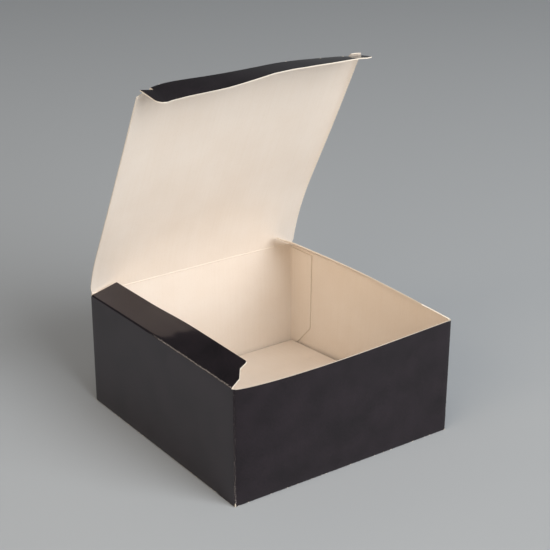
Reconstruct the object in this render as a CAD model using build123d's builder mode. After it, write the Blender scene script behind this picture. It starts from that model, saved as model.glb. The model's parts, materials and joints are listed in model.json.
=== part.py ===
from build123d import *
import math
import os

# Folding board and the outer size of the glued carton, in millimetres
board = 0.5
box_width = 120.0
box_depth = 123.5
lid_crease_height = 57.0

# Folds: the side creases lie lower than the lid's, so that the dust flaps lie under the lid
flap_crease_drop = 0.8
crease_gap = 0.15
corner_fold_radius = 0.9
foot_fold_radius = 0.3
lid_crease_radius = 0.35
front_bow = 3.5

# Glue tab of the back wall, inside the right wall
tab_width = 16.0
tab_toe_width = 3.7
tab_foot_height = 1.7
tab_slope_height = 12.3
tab_top_drop = 1.0
seam_set_back = 0.6

# Crash-lock base: panels rise from the foot of each wall to the middle
base_rise_angle = 5.0
base_free_gap = 0.9
base_free_taper = 1.6
glue_corner_depth = 30.0
glue_corner_gap = 1.5
side_flap_depth = 35.0
side_flap_end_gap = 0.3
lap_gap = 0.15
lock_reach = 14.0
lock_slit = 0.3
lock_hook = 6.0
lock_clearance = 0.8
lock_corner_radius = 4.0
base_crease_lap = 0.3
glue_corner_start = 0.7

# Lid: springs up from its crease, bends, then runs straight to the tuck crease
lid_side_gap = 0.5
lid_root_angle = 79.0
lid_tip_angle = 62.6
lid_bend_length = 34.0
tuck_front_gap = 0.9
slit_length = 6.5
slit_gap = 0.3
lid_corner_reach = 2.0
lid_corner_radius = 1.2

# Tuck flap, folded in from the plane of the lid
tuck_length = 14.0
tuck_fold_angle = 62.6
tuck_end_gap = 0.7
tuck_taper = 4.0
tuck_corner_radius = 3.0

# Dust flaps, raised above level by the spring of their creases
dust_width = 15.0
left_dust_angle = 22.0
right_dust_angle = 33.0
dust_rear_gap = 0.6
dust_rear_taper = 3.0
dust_front_gap = 3.4
dust_shoulder_width = 5.7
dust_slant_width = 4.0
dust_slant_depth = 4.3
dust_front_taper = 1.6
dust_corner_radius = 1.2

# Cuts run this far past what they cut
overrun = 5.0

half_board = board / 2
half_width = box_width / 2
half_depth = box_depth / 2
side_crease_height = lid_crease_height - flap_crease_drop
back_top = lid_crease_height - half_board - crease_gap
side_top = side_crease_height - half_board - crease_gap
front_top = side_crease_height
base_rise = math.radians(base_rise_angle)

os.makedirs("parts", exist_ok=True)


def tube_section(height, inset, bow):
    """Plan of the wall tube at a height, moved inwards by an inset, with the front edge bowed out."""
    side = half_width - inset
    end = half_depth - inset
    with BuildSketch(Plane.XY.offset(height)) as section:
        with BuildLine():
            Polyline((-side, -end), (-side, end), (side, end), (side, -end))
            if bow > 0:
                ThreePointArc((side, -end), (0, -end - bow), (-side, -end))
            else:
                Line((side, -end), (-side, -end))
        make_face()
        fillet(section.vertices(), corner_fold_radius - inset)
    return section.sketch


def base_plane(turn, reach):
    """Plane of a base panel that rises from the foot of a wall; turn 0 is the back wall, 90 the left."""
    outward = Vector(0, 1, 0).rotate(Axis.Z, turn)
    along = Vector(1, 0, 0).rotate(Axis.Z, turn)
    normal = outward * math.sin(base_rise) + Vector(0, 0, 1) * math.cos(base_rise)
    return Plane(origin=outward * reach, x_dir=along, z_dir=normal)


# Carton body: the folded tube of four walls, the front one bowed out at its top
with BuildPart() as carton_body:
    loft(sections=[tube_section(0, 0, 0), tube_section(back_top, 0, front_bow)], ruled=True)
    foot_edges = carton_body.faces().sort_by(Axis.Z)[0].edges()
    fillet(foot_edges, foot_fold_radius)
    loft(
        sections=[tube_section(0, board, 0), tube_section(back_top, board, front_bow)],
        ruled=True,
        mode=Mode.SUBTRACT,
    )

    # The front and side walls end lower than the back wall, the side walls under their flaps
    open_depth = box_depth - board + front_bow + overrun
    with BuildSketch(Plane.XY.offset(front_top)):
        with Locations((0, half_depth - board - open_depth / 2)):
            Rectangle(box_width + overrun, open_depth)
    extrude(amount=overrun, mode=Mode.SUBTRACT)
    with BuildSketch(Plane.XY.offset(side_top)):
        with Locations((half_width, -half_board), (-half_width, -half_board)):
            Rectangle(2 * board, box_depth - board)
    extrude(amount=overrun, mode=Mode.SUBTRACT)

    # The outer edge of the back wall's top is rolled over by its crease, so that the lid can lie right back
    back_edges = carton_body.edges().filter_by(Axis.X).group_by(Axis.Z)[-1]
    fillet(back_edges.sort_by(Axis.Y)[-1], lid_crease_radius)

    # The right wall laps over the glue tab, so its cut end shows as a step at the rear corner
    seam_width = board + overrun
    seam_depth = seam_set_back + overrun
    with BuildSketch():
        with Locations((half_width - board + seam_width / 2, half_depth - seam_set_back + seam_depth / 2)):
            Rectangle(seam_width, seam_depth)
    extrude(amount=lid_crease_height, mode=Mode.SUBTRACT)

    # Glue tab, a fold of the back wall against the inside of the right wall
    tab_rear = half_depth - half_board
    tab_front = half_depth - board - tab_width
    tab_top = side_top - tab_top_drop
    with BuildSketch(Plane.YZ.offset(half_width - 2 * board)):
        with BuildLine():
            Polyline(
                (tab_rear, tab_foot_height),
                (half_depth - board - tab_toe_width, tab_foot_height),
                (tab_front, tab_foot_height + tab_slope_height),
                (tab_front, tab_top),
                (tab_rear, tab_top),
                close=True,
            )
        make_face()
    extrude(amount=board)

    # Crash-lock base: each half turn adds a lock panel, its glue corner and the side flap over that corner
    middle = half_depth / math.cos(base_rise)
    lock_stop = middle - board / (2 * math.tan(base_rise)) - lock_clearance
    lock_tip = middle + lock_reach
    free_edge = half_width - board - base_free_gap
    glue_edge = -half_width + glue_corner_depth
    lap_set_back = (2 * board + lap_gap) / math.tan(base_rise)
    for turn in (0, 180):
        with BuildSketch(base_plane(turn, half_depth)) as lock_panel:
            with BuildLine():
                Polyline(
                    (-half_width + corner_fold_radius, -foot_fold_radius),
                    (-half_width + glue_corner_start - base_crease_lap, -glue_corner_start),
                    (glue_edge - base_crease_lap, -glue_corner_depth),
                    (glue_edge, -lock_stop),
                    (lock_slit, -lock_stop),
                    (lock_slit, -2 * middle + lock_stop),
                    (-lock_hook, -lock_tip),
                    (free_edge - base_free_taper, -lock_tip),
                    (free_edge, -foot_fold_radius),
                    close=True,
                )
            make_face()
            tongue_corners = lock_panel.vertices().sort_by(Axis.Y)[:2]
            fillet(tongue_corners, lock_corner_radius)
        extrude(amount=board)

        glue_plane = base_plane(turn + 90, half_width)
        with BuildSketch(glue_plane):
            with BuildLine():
                Polyline(
                    (half_depth - glue_corner_start, -glue_corner_start - base_crease_lap),
                    (half_depth - glue_corner_depth, -glue_corner_depth - base_crease_lap),
                    (half_depth - glue_corner_depth, -glue_corner_gap),
                    close=True,
                )
            make_face()
        extrude(amount=board)

        flap_start = half_depth - board - side_flap_end_gap
        flap_stop = lap_set_back - half_depth
        with BuildSketch(glue_plane.offset(board)):
            with BuildLine():
                Polyline(
                    (flap_start, -foot_fold_radius),
                    (flap_start - side_flap_depth, -side_flap_depth),
                    (flap_stop + side_flap_depth, -side_flap_depth),
                    (flap_stop, -foot_fold_radius),
                    close=True,
                )
            make_face()
        extrude(amount=board)

carton_body.part.label = "carton_body"
export_step(carton_body.part, "parts/carton_body.step")

# Lid panel: its side view is an arc from the crease and a straight run, closed length set by the box
lid_half = half_width - lid_side_gap
hinge = Vector(half_depth - half_board, lid_crease_height)
lid_bend_angle = lid_root_angle - lid_tip_angle
lid_bend_radius = lid_bend_length / math.radians(lid_bend_angle)
root_direction = Vector(-1, 0).rotate(Axis.Z, -lid_root_angle)
tip_direction = Vector(-1, 0).rotate(Axis.Z, -lid_tip_angle)
closed_reach = box_depth - 2 * board - tuck_front_gap
bend_chord = 2 * lid_bend_radius * math.sin(math.radians(lid_bend_angle / 2))
bend_run = bend_chord * math.cos(math.radians(lid_bend_angle / 2))
bend_offset = bend_chord * math.sin(math.radians(lid_bend_angle / 2))
straight_run = math.sqrt(closed_reach**2 - bend_offset**2) - bend_run
crease_step = board + crease_gap

with BuildPart() as lid_panel:
    with BuildSketch(Plane.YZ.offset(-lid_half)):
        with BuildLine() as side_view:
            bend = JernArc(hinge, root_direction, lid_bend_radius, lid_bend_angle)
            run = Line(bend @ 1, bend @ 1 + tip_direction * (straight_run - crease_step))
        trace(side_view.edges(), board)
        with Locations(bend @ 0, run @ 1):
            Circle(half_board)
    extrude(amount=2 * lid_half)

    # Slit-lock corners, which run on past the tuck crease at both ends
    lid_end = Vector(0, (run @ 1).X, (run @ 1).Y)
    lid_run = Vector(0, tip_direction.X, tip_direction.Y)
    lid_plane = Plane(origin=lid_end, x_dir=(1, 0, 0), z_dir=Vector(1, 0, 0).cross(lid_run))
    corner_length = crease_step + lid_corner_reach
    with BuildSketch(lid_plane) as slit_corners:
        for side in (-1, 1):
            with Locations((side * (lid_half - slit_length / 2), corner_length / 2)):
                Rectangle(slit_length, corner_length)
        outer_corners = slit_corners.vertices().group_by(Axis.Y)[-1].sort_by(Axis.X)
        fillet([outer_corners[0], outer_corners[-1]], lid_corner_radius)
    extrude(amount=half_board, both=True)

lid_panel.part.label = "lid_panel"
export_step(lid_panel.part, "parts/lid_panel.step")

# Tuck flap: joined to the lid between the slits, with an ear past each slit and tapered ends
tuck_crease = lid_end + lid_run * crease_step
tuck_run = Vector(0, -1, 0).rotate(Axis.X, tuck_fold_angle - lid_tip_angle)
tuck_plane = Plane(origin=tuck_crease, x_dir=(1, 0, 0), z_dir=Vector(1, 0, 0).cross(tuck_run))
tuck_root_half = lid_half - slit_length - slit_gap
ear_half = half_width - board - tuck_end_gap
ear_edge = lid_corner_reach + slit_gap

with BuildPart() as tuck_flap:
    with BuildSketch(tuck_plane) as tuck_outline:
        with BuildLine():
            Polyline(
                (-tuck_root_half, 0),
                (-tuck_root_half, ear_edge),
                (-ear_half, ear_edge),
                (-ear_half + tuck_taper, tuck_length),
                (ear_half - tuck_taper, tuck_length),
                (ear_half, ear_edge),
                (tuck_root_half, ear_edge),
                (tuck_root_half, 0),
                close=True,
            )
        make_face()
        fillet(tuck_outline.vertices().group_by(Axis.Y)[-1], tuck_corner_radius)
    extrude(amount=half_board, both=True)
    with BuildSketch(Plane.YZ.offset(-tuck_root_half)):
        with Locations((tuck_crease.Y, tuck_crease.Z)):
            Circle(half_board)
    extrude(amount=2 * tuck_root_half)

tuck_flap.part.label = "tuck_flap"
export_step(tuck_flap.part, "parts/tuck_flap.step")

# Dust flaps: mirror images on the left and right walls, each with a locking shoulder at its front end
rear_root = half_depth - board - dust_rear_gap
front_root = dust_front_gap - half_depth
front_step = front_root + dust_slant_depth
for name, side, angle in (
    ("left_dust_flap", -1, left_dust_angle),
    ("right_dust_flap", 1, right_dust_angle),
):
    crease = Vector(side * (half_width - half_board), 0, side_crease_height)
    inward = Vector(-side, 0, 0).rotate(Axis.Y, side * angle)
    flap_plane = Plane(origin=crease, x_dir=inward, z_dir=inward.cross(Vector(0, 1, 0)))
    with BuildPart() as dust_flap:
        with BuildSketch(flap_plane) as dust_outline:
            with BuildLine():
                Polyline(
                    (0, rear_root),
                    (dust_width, rear_root - dust_rear_taper),
                    (dust_width, front_step + dust_front_taper),
                    (dust_shoulder_width + dust_slant_width, front_step),
                    (dust_shoulder_width, front_root),
                    (0, front_root),
                    close=True,
                )
            make_face()
            fillet(dust_outline.vertices().group_by(Axis.X)[-1], dust_corner_radius)
        extrude(amount=half_board, both=True)
        with BuildSketch(Plane.ZX.offset(front_root)):
            with Locations((crease.Z, crease.X)):
                Circle(half_board)
        extrude(amount=rear_root - front_root)
    dust_flap.part.label = name
    export_step(dust_flap.part, f"parts/{name}.step")
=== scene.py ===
import json

import bpy
import numpy as np
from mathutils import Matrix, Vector


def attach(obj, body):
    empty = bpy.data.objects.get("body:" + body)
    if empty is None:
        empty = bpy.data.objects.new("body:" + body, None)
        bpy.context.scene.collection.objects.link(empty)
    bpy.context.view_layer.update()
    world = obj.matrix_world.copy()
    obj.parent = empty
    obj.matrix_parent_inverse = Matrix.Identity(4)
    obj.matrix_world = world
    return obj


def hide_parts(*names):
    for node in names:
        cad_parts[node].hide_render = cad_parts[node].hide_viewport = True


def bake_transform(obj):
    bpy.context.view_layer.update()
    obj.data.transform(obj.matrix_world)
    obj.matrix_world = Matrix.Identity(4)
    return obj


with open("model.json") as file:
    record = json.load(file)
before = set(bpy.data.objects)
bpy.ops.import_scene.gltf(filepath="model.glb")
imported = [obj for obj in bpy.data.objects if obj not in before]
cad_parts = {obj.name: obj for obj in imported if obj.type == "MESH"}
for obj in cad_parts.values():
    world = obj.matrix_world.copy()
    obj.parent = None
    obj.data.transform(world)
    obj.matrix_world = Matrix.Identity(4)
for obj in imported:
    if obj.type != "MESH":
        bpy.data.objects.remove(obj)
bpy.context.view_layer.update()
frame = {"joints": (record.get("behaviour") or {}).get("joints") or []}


# Folded walls with their glue tab.
# Four walls and a glue tab are one ribbon of folding board, coated black outside and bare cream inside.
# The ribbon is folded at four creases and glued where the right wall laps over the tab at the rear corner.
mm = 0.001
board = 0.5
hinges = {joint["name"]: np.array(joint["pos_m"]) / mm for joint in frame["joints"]}
side_half = hinges["right_flap_hinge"][0]
end_half = hinges["lid_hinge"][1]
lid_crease = hinges["lid_hinge"][2]
side_crease = hinges["right_flap_hinge"][2]
seam_drop = 1.4
side_seam = side_crease - seam_drop
back_seam = lid_crease - seam_drop
fold_radius = 0.65
foot_radius = 0.5
foot_lip = 0.9
straight_foot = 0.1
base_rise = np.radians(5.0)
# A side wall has no base flap on the stretch where a lock panel passes close over its foot
lap_room = 0.15
bare_foot_run = (2 * board + lap_room) / np.tan(base_rise)
tab_width = 16.0
tab_toe = 3.7
tab_foot = 0.6
tab_slope = 13.0
tab_drop = 1.4
tab_top = side_crease - tab_drop
glue_line = 0.02
seam_set_back = 0.35
flap_front = -60.1
flap_rear = 60.65
flap_end_slack = 0.1
# How far each wall's top bows outwards, and how the bow leans to one end of the wall
front_bow, front_skew = 3.4, 1.7
right_bow, right_skew = 3.6, 1.2
back_bow, back_skew = 1.2, 0.6
left_bow, left_skew = -0.5, 1.0
# How far the front right corner's top leans out to the right and in from the front
corner_out, corner_in = 1.4, 0.9
# Where the lean starts and is full along the front wall, and where it starts along the right wall
lean_start, lean_full = -10.0, 60.0
lean_depth = 20.0
# How strongly the coating is rubbed at the foot fold, at which height, and how fast that fades
foot_rub, foot_rub_height, foot_rub_fade = 0.62, 0.4, 0.9
# How strongly it is rubbed at the foot of a folded corner, and the share of that lost at the top
corner_rub, corner_rub_loss = 0.56, 0.25
wall_length_step = 2.4
wall_heights = 15
foot_steps = 6
split = 0.05


def hex_colour(code):
    """Linear colour of an sRGB hex value."""
    values = np.array([int(code[i:i + 2], 16) for i in (1, 3, 5)]) / 255
    linear = np.where(values <= 0.04045, values / 12.92, ((values + 0.055) / 1.055) ** 2.4)
    return (*linear, 1.0)


def add_node(tree, kind, settings=None, inputs=None):
    """A node with its settings; an input is a value, or a socket that is linked to it."""
    node = tree.nodes.new(kind)
    for key, value in (settings or {}).items():
        setattr(node, key, value)
    for key, value in (inputs or {}).items():
        if isinstance(value, bpy.types.NodeSocket):
            tree.links.new(value, node.inputs[key])
        else:
            node.inputs[key].default_value = value
    return node


def new_material(name):
    """An empty node material with its output, and the tree to fill."""
    material = bpy.data.materials.new(name)
    material.use_nodes = True
    tree = material.node_tree
    tree.nodes.clear()
    return material, tree, tree.nodes.new("ShaderNodeOutputMaterial")


def glossy_black_coating():
    """Black water-based coating on calendered board: an even gloss over a faint fibre relief, with a paler
    core where folds are rubbed through. Fibres are drawn coarser than they are, so that they show."""
    fibre_mm, mottle_mm, rub_mm = 0.8, 14.0, 0.55
    relief_mm = 0.05
    material, tree, output = new_material("glossy_black_coating")
    sheet = add_node(tree, "ShaderNodeUVMap", {"uv_map": "sheet"}).outputs["UV"]
    fibre = add_node(tree, "ShaderNodeTexNoise", {"noise_dimensions": "2D"},
                     {"Vector": sheet, "Scale": 1 / (fibre_mm * mm), "Detail": 3.0})
    mottle = add_node(tree, "ShaderNodeTexNoise", {"noise_dimensions": "2D"},
                      {"Vector": sheet, "Scale": 1 / (mottle_mm * mm), "Detail": 4.0})
    rub_noise = add_node(tree, "ShaderNodeTexNoise", {"noise_dimensions": "2D"},
                         {"Vector": sheet, "Scale": 1 / (rub_mm * mm), "Detail": 5.0, "Roughness": 0.7})
    worn = add_node(tree, "ShaderNodeAttribute", {"attribute_name": "worn"}).outputs["Fac"]
    # Rubbed spots show where the noise rises above a level that falls as wear grows
    level = add_node(tree, "ShaderNodeMath", {"operation": "ADD"}, {0: rub_noise.outputs["Fac"], 1: worn})
    rubbed = add_node(tree, "ShaderNodeMapRange", {"interpolation_type": "SMOOTHSTEP"},
                      {"Value": level.outputs[0], "From Min": 1.06, "From Max": 1.22})
    speckle = add_node(tree, "ShaderNodeMix", None,
                       {"Factor": 0.55, "A": mottle.outputs["Fac"], "B": fibre.outputs["Fac"]})
    spread = add_node(tree, "ShaderNodeMapRange", None,
                      {"Value": speckle.outputs[0], "From Min": 0.35, "From Max": 0.68})
    ink = add_node(tree, "ShaderNodeMix", {"data_type": "RGBA"},
                   {"Factor": spread.outputs["Result"], 6: hex_colour("#0d0b0d"), 7: hex_colour("#221c21")})
    colour = add_node(tree, "ShaderNodeMix", {"data_type": "RGBA"},
                      {"Factor": rubbed.outputs["Result"], 6: ink.outputs[2], 7: hex_colour("#aaa5a1")})
    sheen = add_node(tree, "ShaderNodeMapRange", None,
                     {"Value": mottle.outputs["Fac"], "From Min": 0.3, "From Max": 0.7,
                      "To Min": 0.07, "To Max": 0.10})
    rough = add_node(tree, "ShaderNodeMix", None,
                     {"Factor": rubbed.outputs["Result"], "A": sheen.outputs["Result"], "B": 0.8})
    relief = add_node(tree, "ShaderNodeBump", None,
                      {"Height": fibre.outputs["Fac"], "Strength": 0.12, "Distance": relief_mm * mm})
    shader = add_node(tree, "ShaderNodeBsdfPrincipled", None,
                      {"Base Color": colour.outputs[2], "Roughness": rough.outputs[0],
                       "Normal": relief.outputs["Normal"], "IOR": 1.5,
                       "Specular Tint": hex_colour("#fff0fb")})
    tree.links.new(shader.outputs["BSDF"], output.inputs["Surface"])
    return material


def bare_cream_board():
    """Uncoated inner ply of virgin-fibre board: warm cream and matt, with long fibres and a soft cloudy
    formation. Fibres, flecks and streaks are drawn coarser than they are, so that they show."""
    cloud_mm, fibre_mm, fleck_mm, streak_mm = 22.0, 0.7, 1.6, 1.3
    relief_mm = 0.06
    fibre_stretch, streak_stretch = 0.35, 0.03
    material, tree, output = new_material("bare_cream_board")
    sheet = add_node(tree, "ShaderNodeUVMap", {"uv_map": "sheet"}).outputs["UV"]
    grain = add_node(tree, "ShaderNodeMapping", {"vector_type": "POINT"},
                     {"Vector": sheet, "Scale": (1.0, fibre_stretch, 1.0)})
    cloud = add_node(tree, "ShaderNodeTexNoise", {"noise_dimensions": "2D"},
                     {"Vector": sheet, "Scale": 1 / (cloud_mm * mm), "Detail": 5.0})
    fibre = add_node(tree, "ShaderNodeTexNoise", {"noise_dimensions": "2D"},
                     {"Vector": grain.outputs["Vector"], "Scale": 1 / (fibre_mm * mm), "Detail": 4.0})
    fleck = add_node(tree, "ShaderNodeTexVoronoi", {"voronoi_dimensions": "2D"},
                     {"Vector": grain.outputs["Vector"], "Scale": 1 / (fleck_mm * mm)})
    formation = add_node(tree, "ShaderNodeMix", {"data_type": "RGBA"},
                         {"Factor": cloud.outputs["Fac"], 6: hex_colour("#e8dccf"),
                          7: hex_colour("#efe6dc")})
    # Faint streaks lie along the board's grain, which runs up the walls
    drawn = add_node(tree, "ShaderNodeMapping", {"vector_type": "POINT"},
                     {"Vector": sheet, "Scale": (1.0, streak_stretch, 1.0)})
    streak = add_node(tree, "ShaderNodeTexNoise", {"noise_dimensions": "2D"},
                      {"Vector": drawn.outputs["Vector"], "Scale": 1 / (streak_mm * mm), "Detail": 3.0})
    streak_share = add_node(tree, "ShaderNodeMapRange", None,
                            {"Value": streak.outputs["Fac"], "From Min": 0.4, "From Max": 0.75,
                             "To Min": 0.0, "To Max": 0.06})
    streaked = add_node(tree, "ShaderNodeMix", {"data_type": "RGBA"},
                        {"Factor": streak_share.outputs["Result"], 6: formation.outputs[2],
                         7: hex_colour("#d6c3a6")})
    speck = add_node(tree, "ShaderNodeMapRange", None,
                     {"Value": fleck.outputs["Distance"], "From Min": 0.02, "From Max": 0.12,
                      "To Min": 0.10, "To Max": 0.0})
    colour = add_node(tree, "ShaderNodeMix", {"data_type": "RGBA"},
                      {"Factor": speck.outputs["Result"], 6: streaked.outputs[2], 7: hex_colour("#b9a385")})
    relief = add_node(tree, "ShaderNodeBump", None,
                      {"Height": fibre.outputs["Fac"], "Strength": 0.25, "Distance": relief_mm * mm})
    shader = add_node(tree, "ShaderNodeBsdfPrincipled", None,
                      {"Base Color": colour.outputs[2], "Roughness": 0.78,
                       "Normal": relief.outputs["Normal"], "IOR": 1.45, "Specular IOR Level": 0.35})
    tree.links.new(shader.outputs["BSDF"], output.inputs["Surface"])
    return material


def die_cut_edge():
    """Die-cut edge of the board: pale pressed fibre in layers, matt and a little fuzzy."""
    layer_mm = 0.12
    material, tree, output = new_material("die_cut_edge")
    sheet = add_node(tree, "ShaderNodeUVMap", {"uv_map": "sheet"}).outputs["UV"]
    layers = add_node(tree, "ShaderNodeTexNoise", {"noise_dimensions": "2D"},
                      {"Vector": sheet, "Scale": 1 / (layer_mm * mm), "Detail": 3.0})
    colour = add_node(tree, "ShaderNodeMix", {"data_type": "RGBA"},
                      {"Factor": layers.outputs["Fac"], 6: hex_colour("#d9cfbf"), 7: hex_colour("#f3ece0")})
    shader = add_node(tree, "ShaderNodeBsdfPrincipled", None,
                      {"Base Color": colour.outputs[2], "Roughness": 0.85, "IOR": 1.45})
    tree.links.new(shader.outputs["BSDF"], output.inputs["Surface"])
    return material


board_faces = [glossy_black_coating(), bare_cream_board(), die_cut_edge()]


def smooth(value):
    """Smooth step from 0 to 1."""
    value = np.clip(value, 0, 1)
    return value * value * (3 - 2 * value)


def sheet_normals(middle):
    """Unit normals of a grid of points, towards the black face."""
    normal = np.cross(np.gradient(middle, axis=0), np.gradient(middle, axis=1))
    return normal / np.linalg.norm(normal, axis=2, keepdims=True)


def board_sheet(name, middle, flat, normal, kept=None, worn=None):
    """Closed mesh of bent board around a grid of points on its middle layer: black outer face, cream inner
    face and cut edges. The flat grid is where each point lies on the unfolded blank."""
    rows, columns = middle.shape[:2]
    if kept is None:
        kept = np.ones((rows - 1, columns - 1), bool)
    corner = np.arange(rows * columns).reshape(rows, columns)
    inside = rows * columns
    blank_points = flat.reshape(-1, 2)
    faces, kinds, places = [], [], []
    edge_use = {}
    for row, column in zip(*np.nonzero(kept)):
        ring = [corner[row, column], corner[row + 1, column],
                corner[row + 1, column + 1], corner[row, column + 1]]
        faces += [ring, [point + inside for point in reversed(ring)]]
        kinds += [0, 1]
        places += [blank_points[ring], blank_points[ring[::-1]]]
        for first, second in zip(ring, ring[1:] + ring[:1]):
            edge_use[(first, second)] = True
    for first, second in edge_use:
        if (second, first) in edge_use:
            continue
        faces.append([second, first, first + inside, second + inside])
        kinds.append(2)
        start, stop = blank_points[second], blank_points[first]
        run = start.sum()
        length = np.linalg.norm(stop - start)
        places.append([(run, 0), (run + length, 0), (run + length, board), (run, board)])
    half_board = normal * board / 2
    points = np.concatenate([middle + half_board, middle - half_board]).reshape(-1, 3) * mm
    wear = np.zeros(inside) if worn is None else worn.reshape(-1)
    return finish_mesh(name, points, faces, kinds, places, np.concatenate([wear, wear]))


def finish_mesh(name, points, faces, kinds, places, wear):
    """Object from points, faces, their board face and blank coordinates, with unused points dropped."""
    sharp_fold = np.radians(32)
    used = np.unique(np.concatenate([np.array(face) for face in faces]))
    renumber = np.full(len(points), -1)
    renumber[used] = np.arange(len(used))
    mesh = bpy.data.meshes.new(name)
    kept_points = [tuple(point) for point in points[used]]
    kept_faces = [[int(renumber[point]) for point in face] for face in faces]
    mesh.from_pydata(kept_points, [], kept_faces)
    mesh.polygons.foreach_set("material_index", np.array(kinds, np.int32))
    layer = mesh.uv_layers.new(name="sheet")
    blank_places = np.concatenate([np.array(ring, float) for ring in places])
    layer.data.foreach_set("uv", blank_places.ravel() * mm)
    attribute = mesh.attributes.new("worn", "FLOAT", "POINT")
    attribute.data.foreach_set("value", wear[used].astype(np.float32))
    for material in board_faces:
        mesh.materials.append(material)
    mesh.polygons.foreach_set("use_smooth", np.ones(len(mesh.polygons), bool))
    mesh.set_sharp_from_angle(angle=sharp_fold)
    mesh.update()
    piece = bpy.data.objects.new(name, mesh)
    bpy.context.scene.collection.objects.link(piece)
    return piece


def bow_shape(share, skew):
    """Outward bow along a wall, nought at both ends, with its peak moved by the skew."""
    return np.sin(np.pi * np.clip(share, 0, 1) ** skew)


def right_wall_bow(y):
    """Outward bow of the right wall's top at a depth."""
    return right_bow * bow_shape((end_half - y) / (2 * end_half), right_skew)


def corner_lean(points):
    """Lean of the front right corner's top, fading along both walls and down to the foot."""
    fade_right = smooth((points[..., 0] - lean_start) / (lean_full - lean_start))
    fade_front = smooth((-points[..., 1] - lean_depth) / (end_half - lean_depth))
    share = fade_right * fade_front * np.minimum(points[..., 2] / side_crease, 1)
    return share[..., None] * np.array([corner_out, corner_in, 0])


def side_top(y):
    """Top of a side wall: it stops at the seam under its flap, and is cut at the crease past the flap."""
    under_flap = flap_front - flap_end_slack < y < flap_rear + flap_end_slack
    return side_seam if under_flap else side_crease


# Plan of the ribbon: for each column its point, outward way, bow and top, and where its foot starts.
# A foot is folded in towards the base, unless a height is given at which it is cut straight.
inner_side = side_half - fold_radius
inner_end = end_half - fold_radius
tab_side = side_half - board - glue_line
plan, outward, bows, tops, feet, is_tab = [], [], [], [], [], []


def add_column(point, direction, bow, top, foot, tab):
    """Adds one column of the ribbon."""
    plan.append(point)
    outward.append(direction)
    bows.append(bow)
    tops.append(top)
    feet.append(foot)
    is_tab.append(tab)


def add_run(start, stop, direction, bow, top, foot=None, tab=False):
    """Adds a straight run of the plan; bow, top and foot are functions of the depth or width along it."""
    start, stop = np.array(start, float), np.array(stop, float)
    axis = 1 if direction[0] else 0
    count = max(2, int(round(np.linalg.norm(stop - start) / wall_length_step)) + 1)
    for share in np.linspace(0, 1, count):
        point = start + (stop - start) * share
        along = point[axis]
        foot_height = foot(along) if foot else None
        add_column(point, np.array(direction, float), bow(along), top(along), foot_height, tab)


def add_corner(centre, start_angle, top_before, top_after, steps=6):
    """Adds a folded corner, a quarter turn from the start angle, with its foot cut straight."""
    for share in np.linspace(0, 1, steps + 1)[1:-1]:
        angle = np.radians(start_angle + 90 * share)
        direction = np.array([np.cos(angle), np.sin(angle)])
        top = top_before + (top_after - top_before) * share
        add_column(np.array(centre) + fold_radius * direction, direction, 0.0, top, straight_foot, False)


def straight(along):
    """Foot height of a stretch that is cut straight."""
    return straight_foot


def back_wall_bow(x):
    """Outward bow of the back wall's top at a place along it."""
    return back_bow * bow_shape((side_half - x) / (2 * side_half), back_skew)


def left_wall_bow(y):
    """Outward bow of the left wall's top at a depth."""
    return left_bow * bow_shape((end_half - y) / (2 * end_half), left_skew)


def front_wall_bow(x):
    """Outward bow of the front wall's top at a place along it."""
    return front_bow * bow_shape((x + side_half) / (2 * side_half), 1 / front_skew)


tab_front = inner_end - tab_width
toe_front = inner_end - tab_toe
bare_end = end_half - bare_foot_run
add_run((tab_side, tab_front), (tab_side, toe_front), (1, 0), right_wall_bow, lambda y: tab_top,
        lambda y: tab_foot + tab_slope * (toe_front - y) / (toe_front - tab_front), True)
add_run((tab_side, toe_front + split), (tab_side, inner_end), (1, 0), right_wall_bow, lambda y: tab_top,
        lambda y: tab_foot, True)
add_corner((tab_side - fold_radius, inner_end), 0, back_seam, back_seam)
add_run((tab_side - fold_radius, end_half), (-inner_side, end_half), (0, 1), back_wall_bow,
        lambda x: back_seam)
add_corner((-inner_side, inner_end), 90, back_seam, side_crease)
add_run((-side_half, inner_end), (-side_half, -bare_end), (-1, 0), left_wall_bow, side_top)
add_run((-side_half, -bare_end - split), (-side_half, -inner_end), (-1, 0), left_wall_bow, side_top,
        straight)
add_corner((-inner_side, -inner_end), 180, side_crease, side_crease)
add_run((-inner_side, -end_half), (inner_side, -end_half), (0, -1), front_wall_bow, lambda x: side_crease)
add_corner((inner_side, -inner_end), 270, side_crease, side_crease)
add_run((side_half, -inner_end), (side_half, bare_end), (1, 0), right_wall_bow, side_top)
add_run((side_half, bare_end + split), (side_half, end_half - seam_set_back), (1, 0), right_wall_bow,
        side_top, straight)
plan, is_tab = np.array(plan), np.array(is_tab)

# Each column rises from its foot to the top
foot_turn = np.linspace(np.pi / 2, 0, foot_steps)
fold_in = np.concatenate([[foot_radius + foot_lip], foot_radius - foot_radius * np.cos(foot_turn)])
fold_up = np.concatenate([[board / 2 + foot_lip * np.tan(base_rise)],
                          board / 2 + foot_radius - foot_radius * np.sin(foot_turn)])
fold_rows = len(fold_up)
foot_shares = np.linspace(0, 1, fold_rows)
rise = np.linspace(0, 1, wall_heights + 1)[1:]
columns = []
for point, direction, bow, top, foot in zip(plan, outward, bows, tops, feet):
    if foot is None:
        low, inset = fold_up, fold_in
    else:
        low, inset = foot + fold_up[-1] * foot_shares, np.zeros(fold_rows)
    heights = np.concatenate([low, low[-1] + (top - low[-1]) * rise])
    reach = bow * (heights / side_crease) - np.concatenate([inset, np.zeros(len(rise))])
    place_x = point[0] + direction[0] * reach
    place_y = point[1] + direction[1] * reach
    columns.append(np.column_stack([place_x, place_y, heights]))
ribbon = np.array(columns)
ribbon = ribbon + corner_lean(ribbon)
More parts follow.
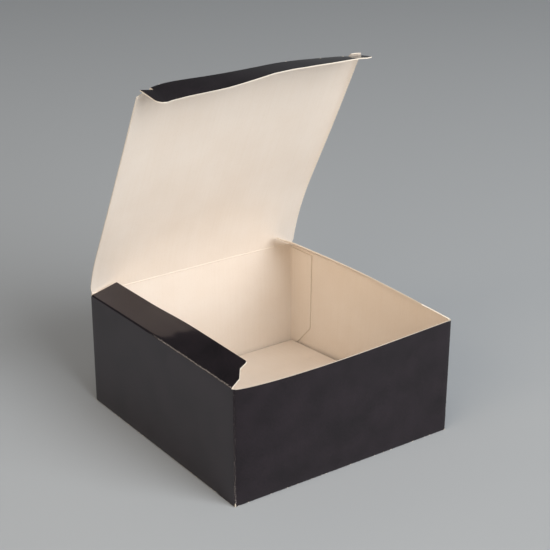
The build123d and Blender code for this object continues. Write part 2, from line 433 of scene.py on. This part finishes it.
# The foot fold stops where a straight foot starts
folded = np.array([foot is None for foot in feet])
foot_kinds = folded + 2 * is_tab
ribbon_kept = np.ones((ribbon.shape[0] - 1, ribbon.shape[1] - 1), bool)
ribbon_kept[folded[1:] != folded[:-1], :fold_rows - 1] = False
ribbon_normals = sheet_normals(ribbon)
changes = np.nonzero(foot_kinds[1:] != foot_kinds[:-1])[0] + 1
for group in np.split(np.arange(len(ribbon)), changes):
    ribbon_normals[group, :fold_rows] = sheet_normals(ribbon[group])[:, :fold_rows]
run_length = np.concatenate([[0], np.cumsum(np.linalg.norm(np.diff(plan, axis=0), axis=1))])
blank = np.stack([np.repeat(run_length[:, None], ribbon.shape[1], 1), ribbon[:, :, 2]], 2)
blank[folded, 0, 1] = -foot_lip
# The coating is rubbed at the foot fold and at the folded corners, more towards the foot
at_corner = (np.abs(plan[:, 0]) > inner_side + split) & (np.abs(plan[:, 1]) > inner_end + split)
height_share = ribbon[:, :, 2] / side_crease
foot_wear = np.clip(foot_rub - np.abs(ribbon[:, :, 2] - foot_rub_height) * foot_rub_fade, 0, 1)
corner_wear = np.where(at_corner, corner_rub, 0)[:, None] * (1 - corner_rub_loss * height_share)
wall_wear = np.maximum(foot_wear, corner_wear) * np.where(is_tab, 0, 1)[:, None]
folded_walls = board_sheet("folded_walls", ribbon, blank, ribbon_normals, ribbon_kept, wall_wear)
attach(folded_walls, "carton")
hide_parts("carton_body")


# Pressed beads inside the corner folds.
# The creasing rule presses the board along each fold, so that a narrow bead of fibre stands up on the
# cream side. A bead is part of the same sheet, and runs nearly the whole height of its fold.
corner_bead_radius = 0.26
bead_margin = 1.6
bead_points = 20


def start_tree(name, inputs):
    """A Geometry Nodes tree with a geometry in and out and named inputs, and its input node."""
    tree = bpy.data.node_groups.new(name, "GeometryNodeTree")
    tree.interface.new_socket("Geometry", in_out="INPUT", socket_type="NodeSocketGeometry")
    for label, kind in inputs.items():
        tree.interface.new_socket(label, in_out="INPUT", socket_type=kind)
    tree.interface.new_socket("Geometry", in_out="OUTPUT", socket_type="NodeSocketGeometry")
    return tree, add_node(tree, "NodeGroupInput").outputs


def end_tree(tree, geometry, material):
    """Gives the geometry its blank coordinates, makes its instances real and sets its material."""
    place = add_node(tree, "GeometryNodeInputPosition").outputs["Position"]
    whole = add_node(tree, "GeometryNodeRealizeInstances", None, {"Geometry": geometry})
    sheet = add_node(tree, "GeometryNodeStoreNamedAttribute", {"data_type": "FLOAT2", "domain": "CORNER"},
                     {"Geometry": whole.outputs["Geometry"], "Name": "sheet", "Value": place})
    coated = add_node(tree, "GeometryNodeSetMaterial", None,
                      {"Geometry": sheet.outputs["Geometry"], "Material": material})
    add_node(tree, "NodeGroupOutput", None, {"Geometry": coated.outputs["Geometry"]})


def pressed_bead_tree():
    """Nodes that draw a round bead along each path."""
    tree, given = start_tree("pressed_bead", {
        "Bead radius": "NodeSocketFloat", "Board": "NodeSocketMaterial"})
    path = add_node(tree, "GeometryNodeMeshToCurve", None, {"Mesh": given["Geometry"]})
    section = add_node(tree, "GeometryNodeCurvePrimitiveCircle", None,
                       {"Resolution": 8, "Radius": given["Bead radius"]})
    bead = add_node(tree, "GeometryNodeCurveToMesh", None,
                    {"Curve": path.outputs["Curve"], "Profile Curve": section.outputs["Curve"],
                     "Fill Caps": True})
    end_tree(tree, bead.outputs["Mesh"], given["Board"])
    return tree


def grown_piece(name, tree, paths, values):
    """Piece that a node tree grows along path lines, as a plain mesh at the origin."""
    points, edges = [], []
    for path in paths:
        first = len(points)
        points += [tuple(point) for point in np.array(path) * mm]
        edges += [(index, index + 1) for index in range(first, len(points) - 1)]
    lines = bpy.data.meshes.new(f"{name}_lines")
    lines.from_pydata(points, edges, [])
    carrier = bpy.data.objects.new(f"{name}_lines", lines)
    bpy.context.scene.collection.objects.link(carrier)
    modifier = carrier.modifiers.new("grown", "NODES")
    modifier.node_group = tree
    for socket in tree.interface.items_tree:
        if socket.name in values:
            modifier[socket.identifier] = values[socket.name]
    evaluated = carrier.evaluated_get(bpy.context.evaluated_depsgraph_get())
    mesh = bpy.data.meshes.new_from_object(evaluated)
    carrier.modifiers.remove(modifier)
    bpy.data.objects.remove(carrier)
    mesh.name = name
    piece = bpy.data.objects.new(name, mesh)
    bpy.context.scene.collection.objects.link(piece)
    return piece


bead_nodes = pressed_bead_tree()
corner_paths = []
for centre_x, centre_y, turn in (
    (tab_side - fold_radius, inner_end, 45),
    (-inner_side, inner_end, 135),
    (-inner_side, -inner_end, 225),
    (inner_side, -inner_end, 315),
):
    way = np.array([np.cos(np.radians(turn)), np.sin(np.radians(turn))]) * (fold_radius - board / 2)
    heights = np.linspace(bead_margin, side_seam - bead_margin, bead_points)
    bead_x = np.full(bead_points, centre_x + way[0])
    bead_y = np.full(bead_points, centre_y + way[1])
    path = np.column_stack([bead_x, bead_y, heights])
    corner_paths.append(path + corner_lean(path))
corner_beads = grown_piece("corner_fold_beads", bead_nodes, corner_paths,
                           {"Bead radius": corner_bead_radius * mm, "Board": board_faces[1]})
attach(corner_beads, "carton")


# Chips along the foot folds.
# Standing and sliding on a table chips the black coating along the folded feet and at the near corner.
# The pale board core shows through there in small flecks.
chip_spacing = 7.0
chip_slide = 5.0
chip_lengths = (0.12, 0.62)
chip_widths = (0.07, 0.17)
chip_seed = 11
chip_turn = np.radians(40)
# The near corner is knocked: heights between which it has lost its coating, and the sizes of its chips
knock_foot, knock_top = 0.4, 1.5
knock_spacing, knock_slide = 0.5, 0.1
knock_widths = (0.12, 0.3)
knock_lengths = (0.25, 0.5)


def coating_chip_tree():
    """Nodes that scatter small long chips along each path, at uneven places and in uneven sizes."""
    tree, given = start_tree("coating_chips", {
        "Spacing": "NodeSocketFloat", "Slide": "NodeSocketFloat", "Smallest": "NodeSocketVector",
        "Largest": "NodeSocketVector", "Seed": "NodeSocketInt", "Core": "NodeSocketMaterial"})
    path = add_node(tree, "GeometryNodeMeshToCurve", None, {"Mesh": given["Geometry"]})
    spots = add_node(tree, "GeometryNodeCurveToPoints", {"mode": "LENGTH"},
                     {"Curve": path.outputs["Curve"], "Length": given["Spacing"]})
    amount = add_node(tree, "FunctionNodeRandomValue", {"data_type": "FLOAT"},
                      {2: -1.0, 3: 1.0, "Seed": given["Seed"]})
    slide = add_node(tree, "ShaderNodeMath", {"operation": "MULTIPLY"},
                     {0: amount.outputs[1], 1: given["Slide"]})
    shift = add_node(tree, "ShaderNodeVectorMath", {"operation": "SCALE"},
                     {0: spots.outputs["Tangent"], "Scale": slide.outputs[0]})
    moved = add_node(tree, "GeometryNodeSetPosition", None,
                     {"Geometry": spots.outputs["Points"], "Offset": shift.outputs[0]})
    size = add_node(tree, "FunctionNodeRandomValue", {"data_type": "FLOAT_VECTOR"},
                    {0: given["Smallest"], 1: given["Largest"], "Seed": given["Seed"]})
    chip = add_node(tree, "GeometryNodeMeshIcoSphere", None, {"Radius": 1.0, "Subdivisions": 2})
    chips = add_node(tree, "GeometryNodeInstanceOnPoints", None,
                     {"Points": moved.outputs["Geometry"], "Instance": chip.outputs["Mesh"],
                      "Rotation": spots.outputs["Rotation"], "Scale": size.outputs[0]})
    end_tree(tree, chips.outputs["Instances"], given["Core"])
    return tree


chip_nodes = coating_chip_tree()
chip_out = foot_radius * (np.cos(chip_turn) - 1) + board / 2 * np.cos(chip_turn)
chip_up = (foot_radius + board / 2) * (1 - np.sin(chip_turn))
chip_side = side_half + chip_out
chip_end = end_half + chip_out
chip_paths = [
    [(-inner_side, -chip_end, chip_up), (inner_side, -chip_end, chip_up)],
    [(-chip_side, -bare_end, chip_up), (-chip_side, inner_end, chip_up)],
    [(-inner_side, chip_end, chip_up), (inner_side, chip_end, chip_up)],
    [(chip_side, -inner_end, chip_up), (chip_side, bare_end, chip_up)],
]
chip_values = {
    "Spacing": chip_spacing * mm,
    "Slide": chip_slide * mm,
    "Smallest": (chip_widths[0] * mm, chip_widths[0] * mm, chip_lengths[0] * mm),
    "Largest": (chip_widths[1] * mm, chip_widths[1] * mm, chip_lengths[1] * mm),
    "Seed": chip_seed,
    "Core": board_faces[2],
}
foot_chips = grown_piece("foot_fold_chips", chip_nodes, chip_paths, chip_values)
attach(foot_chips, "carton")
# The knocked corner lies on the diagonal of the fold, half a board out from its middle layer
knock_out = fold_radius * np.sqrt(0.5) + board / 2 * np.sqrt(0.5)
knock_x = -inner_side - knock_out
knock_y = -inner_end - knock_out
knock_path = [(knock_x, knock_y, knock_foot), (knock_x, knock_y, knock_top)]
knock_values = {
    **chip_values,
    "Spacing": knock_spacing * mm,
    "Slide": knock_slide * mm,
    "Smallest": (knock_widths[0] * mm, knock_widths[0] * mm, knock_lengths[0] * mm),
    "Largest": (knock_widths[1] * mm, knock_widths[1] * mm, knock_lengths[1] * mm),
}
knocked_corner = grown_piece("knocked_corner_chips", chip_nodes, [knock_path], knock_values)
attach(knocked_corner, "carton")


# Crash-lock base.
# Two lock panels hang from the back and front walls, with a hooked tongue each; the tongues slip under each
# other, and a glue corner of each panel is stuck to the folded side flap above it. All are flat board.
free_gap = 0.9
free_taper = 1.9
free_lift = 1.1
glue_depth = 30.0
side_flap_depth = 35.0
lock_reach = 14.0
lock_hook = 6.0
lock_slit = 0.3
lock_clearance = 0.8
lock_corner = 4.0
root_start = 1.6
glue_start = 1.7
glue_foot = 2.0
corner_clear = 0.8
corner_lap = 1.8
outer_side = side_half + board / 2
outer_end = end_half + board / 2
middle_run = outer_end / np.cos(base_rise)
lock_stop = middle_run - board / (2 * np.tan(base_rise)) - lock_clearance
lock_tip = middle_run + lock_reach
root_gap = foot_radius + foot_lip + board / 2


def rounded(outline, corners, radius, steps=5):
    """The outline with the named corners turned into arcs."""
    result = []
    for index, point in enumerate(outline):
        point = np.array(point, float)
        if index not in corners:
            result.append(point)
            continue
        before = np.array(outline[index - 1]) - point
        after = np.array(outline[(index + 1) % len(outline)]) - point
        before /= np.linalg.norm(before)
        after /= np.linalg.norm(after)
        half = np.arccos(np.clip(before @ after, -1, 1)) / 2
        centre = point + (before + after) / np.linalg.norm(before + after) * radius / np.sin(half)
        first = point + before * radius / np.tan(half) - centre
        last = point + after * radius / np.tan(half) - centre
        for share in np.linspace(0, 1, steps + 1):
            ray = first * (1 - share) + last * share
            result.append(centre + ray / np.linalg.norm(ray) * radius)
    return np.array(result)


def flat_panel(name, outline, turn, reach, lift, tilt=0):
    """Flat board panel that rises from the foot of a wall: outline in its own plane, black side down. It
    may tilt, so that its free edge stands higher than its glued one."""
    spin = np.radians(turn)
    out = np.array([-np.sin(spin), np.cos(spin), 0])
    along = np.array([np.cos(spin), np.sin(spin), 0])
    up = out * np.sin(base_rise) + np.array([0, 0, 1]) * np.cos(base_rise)
    into = np.cross(up, along)
    count = len(outline)
    lower = out * reach + outline[:, :1] * along + outline[:, 1:] * into + up * lift
    lower[:, 2] += tilt * (outline[:, 0] / outer_side + 1) / 2
    points = np.concatenate([lower, lower + up * board]) * mm
    ring = list(range(count))
    following = np.roll(outline, -1, axis=0)
    signed_area = np.sum(outline[:, 0] * following[:, 1] - following[:, 0] * outline[:, 1])
    if signed_area < 0:
        ring.reverse()
    faces = [ring[::-1], [point + count for point in ring]]
    kinds = [0, 1]
    places = [outline[ring[::-1]], outline[ring]]
    for first, second in zip(ring, ring[1:] + ring[:1]):
        faces.append([first, second, second + count, first + count])
        kinds.append(2)
        length = np.linalg.norm(outline[second] - outline[first])
        run = outline[first].sum()
        places.append([(run, 0), (run + length, 0), (run + length, board), (run, board)])
    panel = finish_mesh(name, points, faces, kinds, places, np.zeros(2 * count))
    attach(panel, "carton")
    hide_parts("carton_body")


free_edge = outer_side - board - free_gap
glue_edge = -outer_side + glue_depth
for turn, wall_name, side_name in ((0, "back", "left"), (180, "front", "right")):
    lock_outline = rounded([
        (-outer_side + root_start, -root_gap),
        (glue_edge, -glue_depth),
        (glue_edge, -lock_stop),
        (lock_slit, -lock_stop),
        (lock_slit, -2 * middle_run + lock_stop),
        (-lock_hook, -lock_tip),
        (free_edge - free_taper, -lock_tip),
        (free_edge, -root_gap),
    ], (5, 6), lock_corner)
    flat_panel(f"{wall_name}_lock_panel", lock_outline, turn, outer_end, 0, free_lift)
    corner_outline = np.array([
        (outer_end - glue_start, -glue_foot),
        (outer_end - glue_depth, -glue_depth),
        (outer_end - glue_depth, -root_gap),
    ])
    flat_panel(f"{side_name}_glue_corner", corner_outline, turn + 90, outer_side, 0)
    flap_start = outer_end - board - corner_clear - root_gap
    flap_stop = bare_foot_run - outer_end
    flap_outline = np.array([
        (flap_start, -root_gap),
        (flap_start - side_flap_depth + root_gap + corner_lap, -side_flap_depth),
        (flap_stop + side_flap_depth, -side_flap_depth),
        (flap_stop, -root_gap),
    ])
    flat_panel(f"{side_name}_base_flap", flap_outline, turn + 90, outer_side, board)


# Dust flaps on the left and right walls.
# Each is a flap of the same board, creased along its wall's top and sprung up by the crease, the left one
# twisted. Its front end has a shoulder that catches the lid's slit; its rear end tapers to clear the lid.
rear_taper = 2.4
shoulder = 5.0
shoulder_depth = 1.05
slant_width = 3.9
slant_depth = 4.4
flap_corner = 1.2
rear_sharpness = 0.35
crease_length = 1.3
# Rows of the grid from the seam over the crease to the free edge, and its columns along the flap
seam_rows, crease_rows = 3, 8
shoulder_rows, slant_rows, outer_rows, round_rows = 6, 5, 5, 6
flap_columns = 60
flap_bead_radius = 0.24
# How strongly the coating is rubbed at a flap's crease, how fast that fades, and the share left at the rear
flap_rub, flap_rub_fade, rear_rub_share = 0.68, 0.55, 0.35
# Share of the crease from the rear at which the rubbing grows, and over how much of it
rub_start, rub_run = 0.3, 0.25
# The crease bends from below its line on the wall to above it and in from the wall
# For each flap its side, body and width, its lift in degrees at the rear and the front, the depths it twists
# between, and how far it is cupped across
flap_shapes = {
    "left_dust_flap": {
        "side": -1, "body": "left_flap", "width": 13.2, "lift_rear": 20.5, "lift_front": 30.6,
        "twist_start": 28.0, "twist_stop": -16.0, "cup": 5.0},
    "right_dust_flap": {
        "side": 1, "body": "right_flap", "width": 15.0, "lift_rear": 29.0, "lift_front": 33.2,
        "twist_start": 60.0, "twist_stop": 46.0, "cup": 0.0},
}


def bent_profile(start, angles, steps):
    """Points of a bent strip in side view, from a start point, by the direction angle at each step."""
    middle_angles = np.radians((angles[1:] + angles[:-1]) / 2)
    moves = np.stack([np.cos(middle_angles), np.sin(middle_angles)], -1) * steps[:, None]
    return np.concatenate([[start], start + np.cumsum(moves, 0)])


def crease_row(runs):
    """Row of a sheet's grid that lies nearest its crease."""
    return int(np.argmin(np.abs(runs)))


def crease_path(grid, normals, row):
    """Line along a crease on the cream side of a sheet."""
    return grid[:, row] - normals[:, row] * board / 2


for flap_name, flap_shape in flap_shapes.items():
    side, body, width, lift_rear, lift_front, twist_start, twist_stop, cup = flap_shape.values()
    runs = np.concatenate([
        np.linspace(-seam_drop, -crease_length / 2, seam_rows),
        np.linspace(-crease_length / 2, crease_length / 2, crease_rows)[1:],
        np.linspace(crease_length / 2, shoulder, shoulder_rows)[1:],
        np.linspace(shoulder, shoulder + slant_width, slant_rows)[1:],
        np.linspace(shoulder + slant_width, width - flap_corner, outer_rows)[1:],
        width - flap_corner + flap_corner * np.sin(np.linspace(0, np.pi / 2, round_rows))[1:],
    ])
    out = np.clip(runs, 0, None)
    past = np.clip(out - (width - flap_corner), 0, flap_corner)
    rounding = flap_corner - np.sqrt(flap_corner**2 - past**2)
    shoulder_line = shoulder_depth * np.clip(out / shoulder, 0, 1)
    slant = slant_depth * np.clip((out - shoulder) / slant_width, 0, 1)
    front_ends = flap_front + shoulder_line + slant + rounding
    rear_ends = flap_rear - rear_taper * out / width - rounding * rear_sharpness
    shares = np.linspace(0, 1, flap_columns)[::-side]
    grid, place, rub = [], [], []
    for share in shares:
        depths = rear_ends + (front_ends - rear_ends) * share
        twist = smooth((twist_start - depths[0]) / (twist_start - twist_stop))
        lift = lift_rear + (lift_front - lift_rear) * twist
        cupped = lift + cup * (out / width - 0.5)
        angles = 90 + (90 - cupped) * smooth((runs + crease_length / 2) / crease_length)
        profile = bent_profile(np.array([0, side_seam]), angles, np.diff(runs))
        bowed = right_wall_bow(depths) if side > 0 else left_wall_bow(depths)
        lean = side * (side_half + bowed * side_seam / side_crease + profile[:, 0])
        grid.append(np.column_stack([lean, depths, profile[:, 1]]))
        place.append(np.column_stack([depths, runs]))
        front_share = smooth((share - rub_start) / rub_run)
        rub_share = rear_rub_share + (1 - rear_rub_share) * front_share
        rub.append(np.clip(flap_rub - np.abs(runs) * flap_rub_fade, 0, 1) * rub_share)
    grid = np.array(grid)
    grid = grid + corner_lean(grid)
    normals = sheet_normals(grid)
    flap = board_sheet(f"{flap_name}_sheet", grid, np.array(place), normals, worn=np.array(rub))
    bead = grown_piece(f"{flap_name}_bead", bead_nodes, [crease_path(grid, normals, crease_row(runs))],
                       {"Bead radius": flap_bead_radius * mm, "Board": board_faces[1]})
    for piece in (flap, bead):
        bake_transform(piece)
    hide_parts(flap_name)


# Lid panel.
# The lid is the same board, creased along the back wall's top, and springs up and forwards in a slack curve.
# Slits part its front corners from the tuck flap: the right one stands past the fold, the left stops short.
curve_extra = 0.35
lid_chord = (hinges["tuck_flap_hinge"] - hinges["lid_hinge"])[1:]
lid_run = float(np.hypot(*lid_chord)) + curve_extra
lid_half = 60.0
root_narrowing = 0.7
right_slit, left_slit = 5.4, 6.8
right_reach, left_reach = 1.1, -1.5
tab_flatness = 0.8
right_spread, left_spread = 0.3, 0.6
lid_bulge, lid_skew = 4.6, 0.5
# The lid also swells towards its left front, which leaves room for the left flap's raised end when closed
left_swell, swell_skew = 3.3, 5.0
tuck_lead = 3.6
# Direction above level of the lid's left and right edges at the crease, at the waist and at the front fold
left_angles, left_waist = (79.3, 62.1, 62.9), 24.0
right_angles, right_waist = (78.7, 61.0, 63.1), 50.0
waist_ease = 1.5
# Runs from the crease over which the narrowed root widens, and over which the bulge starts to lift the lid
narrow_run, bulge_run = 3.0, 20.0
lid_columns = 64
lid_rows = 62
corner_columns = 6
corner_rows = 9
seam_run = lid_run - tuck_lead
lid_bead_radius = 0.3
# How strongly the coating is rubbed at the lid's crease, and how fast that fades
lid_rub, lid_rub_fade = 0.5, 0.3
# The crease bends from below its line on the wall to above it
right_root = lid_half - right_slit
left_root = lid_half - left_slit


def lid_angle(run, across):
    """Direction of the lid above level, by the run from the crease and the share across from the right."""
    waist = right_waist + (left_waist - right_waist) * across
    root, low, tip = [right + (left - right) * across for right, left in zip(right_angles, left_angles)]
    near = low + (root - low) * np.clip(1 - run / waist, 0, 1) ** waist_ease
    return near + (tip - low) * smooth((run - waist) / (lid_run - waist))


def lid_bulge_at(run, across):
    """How far the lid bulges along its normal, from the back wall's bow to its own at the front fold."""
    share = np.clip(run / lid_run, 0, 1)
    wall = back_bow * bow_shape(across, back_skew)
    swell = left_swell * bow_shape(across, swell_skew) * share**2
    return wall + (lid_bulge * bow_shape(across, lid_skew) - wall) * share + swell


def lid_column(x, runs):
    """Points of the lid for one column at x, by the run from the crease."""
    across = (lid_half - x) / (2 * lid_half)
    ahead = np.clip(runs, 0, None)
    angles = lid_angle(ahead, across)
    spread = right_spread if x > 0 else left_spread
    turned = 90 + (angles - 90) * smooth((runs + crease_length / 2) / crease_length)
    profile = bent_profile(np.array([0, back_seam]), 180 - turned, np.diff(runs))
    bulge = lid_bulge_at(ahead, across)
    if x >= right_root:
        past_seam = np.clip((runs - seam_run) / (tuck_lead + right_reach), 0, 1)
        bulge = bulge * (1 - tab_flatness * past_seam)
    slope = np.radians(angles)
    narrowed = root_narrowing / lid_half * (1 - smooth(ahead / narrow_run))
    widened = spread / lid_half * ahead / lid_run
    return np.column_stack([
        x * (1 - narrowed + widened),
        end_half + profile[:, 0] + bulge * np.sin(slope),
        profile[:, 1] + bulge * np.cos(slope) * smooth(ahead / bulge_run),
    ])


xs = np.concatenate([
    np.linspace(lid_half, right_root, corner_columns),
    np.linspace(right_root, -left_root, lid_columns)[1:],
    np.linspace(-left_root, -lid_half, corner_columns)[1:],
])
panel_runs = np.concatenate([
    np.linspace(-seam_drop, -crease_length / 2, seam_rows),
    np.linspace(-crease_length / 2, crease_length / 2, crease_rows)[1:],
    np.linspace(crease_length / 2, seam_run, lid_rows)[1:],
])
corner_shares = np.linspace(0, 1, corner_rows)[1:]
lid_grid, lid_place = [], []
for x in xs:
    reach = right_reach if x > 0 else left_reach
    runs = np.concatenate([panel_runs, seam_run + (tuck_lead + reach) * corner_shares])
    lid_grid.append(lid_column(x, runs))
    lid_place.append(np.column_stack([np.full(len(runs), x), runs]))
lid_grid, lid_place = np.array(lid_grid), np.array(lid_place)
lid_kept = np.ones((lid_grid.shape[0] - 1, lid_grid.shape[1] - 1), bool)
lid_kept[corner_columns - 1:-corner_columns + 1, len(panel_runs) - 1:] = False
lid_wear = np.clip(lid_rub - np.abs(lid_place[:, :, 1]) * lid_rub_fade, 0, 1)
lid_normals = sheet_normals(lid_grid)
lid_sheet = board_sheet("lid_sheet", lid_grid, lid_place, lid_normals, lid_kept, lid_wear)
lid_bead_path = crease_path(lid_grid, lid_normals, crease_row(panel_runs))
lid_bead = grown_piece("lid_crease_bead", bead_nodes, [lid_bead_path],
                       {"Bead radius": lid_bead_radius * mm, "Board": board_faces[1]})
for piece in (lid_sheet, lid_bead):
    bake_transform(piece)
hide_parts("lid_panel")


# Tuck flap.
# The tuck flap is the lid's front end, folded in at a crease between the slits, with an ear past each slit.
# It is sprung unevenly: the left half hangs a little, the middle is level and the right end rises a little.
tuck_length = 14.0
ear_edge = 2.3
left_corner, right_corner = 3.0, 1.0
left_ear, left_taper = 59.3, 2.4
right_ear, right_taper = 59.4, 2.0
# How far the fold lies lower at its right end, from which place, and over what length it comes to that
right_shift, shift_start, shift_run = 2.1, 10.0, 40.0
ear_raise = 1.0
tuck_gap = 0.3
# Level of the flap in degrees at places along the fold from left to right
level_places = (-59.0, -53.0, -46.0, -36.0, -22.0, 3.0, 20.0, 35.0, 50.0, 54.0, 59.5)
level_angles = (-13.5, -14.0, -15.7, -14.6, -11.5, -0.9, 0.1, 3.5, 7.9, 8.2, 8.6)
# Rows of the grid from the seam over the fold to the free edge
lead_rows, edge_rows, inner_rows, tip_rows = 9, 3, 8, 10
tuck_bead_radius = 0.28
fold_chip_spacing = 14.0
# How strongly the coating is rubbed at the fold, and how fast that fades
tuck_rub, tuck_rub_fade = 0.52, 0.25


def tuck_end(run, x):
    """Half width of the tuck flap on the side of x, by the distance from the fold."""
    ear, taper, corner = left_ear, left_taper, left_corner
    if x > 0:
        ear, taper, corner = right_ear, right_taper, right_corner
    past = np.clip((run - ear_edge) / (tuck_length - ear_edge), 0, 1)
    rounding = np.clip(run - (tuck_length - corner), 0, corner)
    return ear - taper * past - (corner - np.sqrt(corner**2 - rounding**2))


tuck_runs = np.concatenate([
    np.linspace(-tuck_lead, -crease_length / 2, lead_rows),
    np.linspace(-crease_length / 2, crease_length / 2, crease_rows)[1:],
    np.linspace(crease_length / 2, ear_edge, edge_rows)[1:],
    np.linspace(ear_edge, tuck_length - left_corner, inner_rows)[1:],
    tuck_length - left_corner + left_corner * np.sin(np.linspace(0, np.pi / 2, tip_rows))[1:],
])
ear_row = int(np.argmin(np.abs(tuck_runs - ear_edge)))
tuck_grid, tuck_place = [], []
for x in xs:
    # An ear goes on from the end of the fold, and does not follow the lid's corner
    root = np.clip(x, -left_root, right_root)
    across = (lid_half - root) / (2 * lid_half)
    fold_half = (right_root if x > 0 else left_root) - tuck_gap
    ear_share = max(0, (x - right_root) / right_slit, (-x - left_root) / left_slit)
    if ear_share > 0:
        spread = np.sign(x) * (fold_half + (tuck_end(tuck_runs, x) - fold_half) * ear_share)
    else:
        spread = np.full(len(tuck_runs), x * fold_half / (fold_half + tuck_gap))
    folded_run = tuck_runs + right_shift * smooth((x - shift_start) / shift_run)
    tuck_turn = smooth((folded_run + crease_length / 2) / crease_length)
    lid_end = lid_column(root, panel_runs)[-1]
    lid_slope = lid_angle(seam_run, across)
    level = np.interp(spread, level_places, level_angles)
    tuck_angles = 180 - (lid_slope + (level - lid_slope) * tuck_turn)
    profile = bent_profile(lid_end[1:], tuck_angles, np.diff(tuck_runs))
    if x < 0:
        profile[:, 1] += ear_raise * ear_share * (1 - np.clip(tuck_runs / tuck_length, 0, 1))
    tuck_grid.append(np.column_stack([spread, profile]))
    tuck_place.append(np.column_stack([spread, lid_run + tuck_runs]))
tuck_kept = np.ones((len(xs) - 1, len(tuck_runs) - 1), bool)
tuck_kept[:corner_columns - 1, :ear_row] = False
tuck_kept[-corner_columns + 1:, :ear_row] = False
tuck_grid, tuck_place = np.array(tuck_grid), np.array(tuck_place)
tuck_wear = np.clip(tuck_rub - np.abs(tuck_place[:, :, 1] - lid_run) * tuck_rub_fade, 0, 1)
tuck_normals = sheet_normals(tuck_grid)
tuck_sheet = board_sheet("tuck_sheet", tuck_grid, tuck_place, tuck_normals, tuck_kept, tuck_wear)
fold_row = crease_row(tuck_runs)
folded_part = slice(corner_columns, -corner_columns)
tuck_bead_path = crease_path(tuck_grid, tuck_normals, fold_row)[folded_part]
tuck_bead = grown_piece("tuck_crease_bead", bead_nodes, [tuck_bead_path],
                        {"Bead radius": tuck_bead_radius * mm, "Board": board_faces[1]})
fold_line = (tuck_grid + tuck_normals * board / 2)[folded_part, fold_row]
fold_chips = grown_piece("tuck_fold_chips", chip_nodes, [fold_line],
                         {**chip_values, "Spacing": fold_chip_spacing * mm})
for piece in (tuck_sheet, tuck_bead, fold_chips):
    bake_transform(piece)
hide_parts("tuck_flap")


# Floor, light and camera.
# A plain pale floor, one large soft lamp from the front, weaker ones from the left and overhead, and an even
# sky, dim enough to leave the coating dark.
floor_size = 8.0
sky_strength = 0.18
lamp_aim = Vector((0, 0, 0.06))
camera_place = Vector((-339.4, -483.65, 311.6)) * mm
camera_azimuth = np.radians(-35.44)
camera_height = np.radians(22.0)
sensor_width = 36.0
# Focal length, fitted to the box's corners, and picture width, both in pixels
focal_pixels, picture_pixels = 1371.0, 550.0
nearest_seen = 0.05
floor_material, floor_tree, floor_output = new_material("pale_floor")
floor_shader = add_node(floor_tree, "ShaderNodeBsdfPrincipled", None,
                        {"Base Color": hex_colour("#bdc2c6"), "Roughness": 0.9, "Specular IOR Level": 0.1})
floor_tree.links.new(floor_shader.outputs["BSDF"], floor_output.inputs["Surface"])
bpy.ops.mesh.primitive_plane_add(size=floor_size, location=(0, 0, 0))
floor = bpy.context.object
floor.name = "floor"
floor.data.materials.append(floor_material)

world = bpy.data.worlds.new("studio")
bpy.context.scene.world = world
world.use_nodes = True
sky = world.node_tree
sky.nodes.clear()
dim_sky = add_node(sky, "ShaderNodeBackground", None,
                   {"Color": hex_colour("#e4e6e9"), "Strength": sky_strength})
add_node(sky, "ShaderNodeOutputWorld", None, {"Surface": dim_sky.outputs["Background"]})


def soft_lamp(name, place, size, power, colour):
    """A square soft lamp, its place and size in metres, aimed at the middle of the box."""
    lamp = bpy.data.lights.new(name, "AREA")
    lamp.shape = "SQUARE"
    lamp.size = size
    lamp.energy = power
    lamp.color = hex_colour(colour)[:3]
    holder = bpy.data.objects.new(name, lamp)
    bpy.context.scene.collection.objects.link(holder)
    holder.location = place
    holder.rotation_euler = (lamp_aim - Vector(place)).to_track_quat("-Z", "Y").to_euler()


soft_lamp("key_softbox", place=(0.48, -2.08, 1.21), size=2.0, power=61.0, colour="#ffffff")
soft_lamp("left_softbox", place=(-2.12, -0.76, 0.90), size=2.0, power=29.0, colour="#ffe9cf")
soft_lamp("overhead_softbox", place=(-0.15, -0.75, 2.07), size=1.6, power=6.0, colour="#ffffff")

camera_data = bpy.data.cameras.new("camera")
camera = bpy.data.objects.new("camera", camera_data)
bpy.context.scene.collection.objects.link(camera)
look_back = Vector((np.sin(camera_azimuth) * np.cos(camera_height),
                    -np.cos(camera_azimuth) * np.cos(camera_height), np.sin(camera_height)))
camera.location = camera_place
camera.rotation_euler = look_back.to_track_quat("Z", "Y").to_euler()
camera_data.sensor_width = sensor_width
camera_data.lens = sensor_width * focal_pixels / picture_pixels
camera_data.clip_start = nearest_seen
bpy.context.scene.camera = camera
bpy.context.scene.view_settings.view_transform = "Standard"
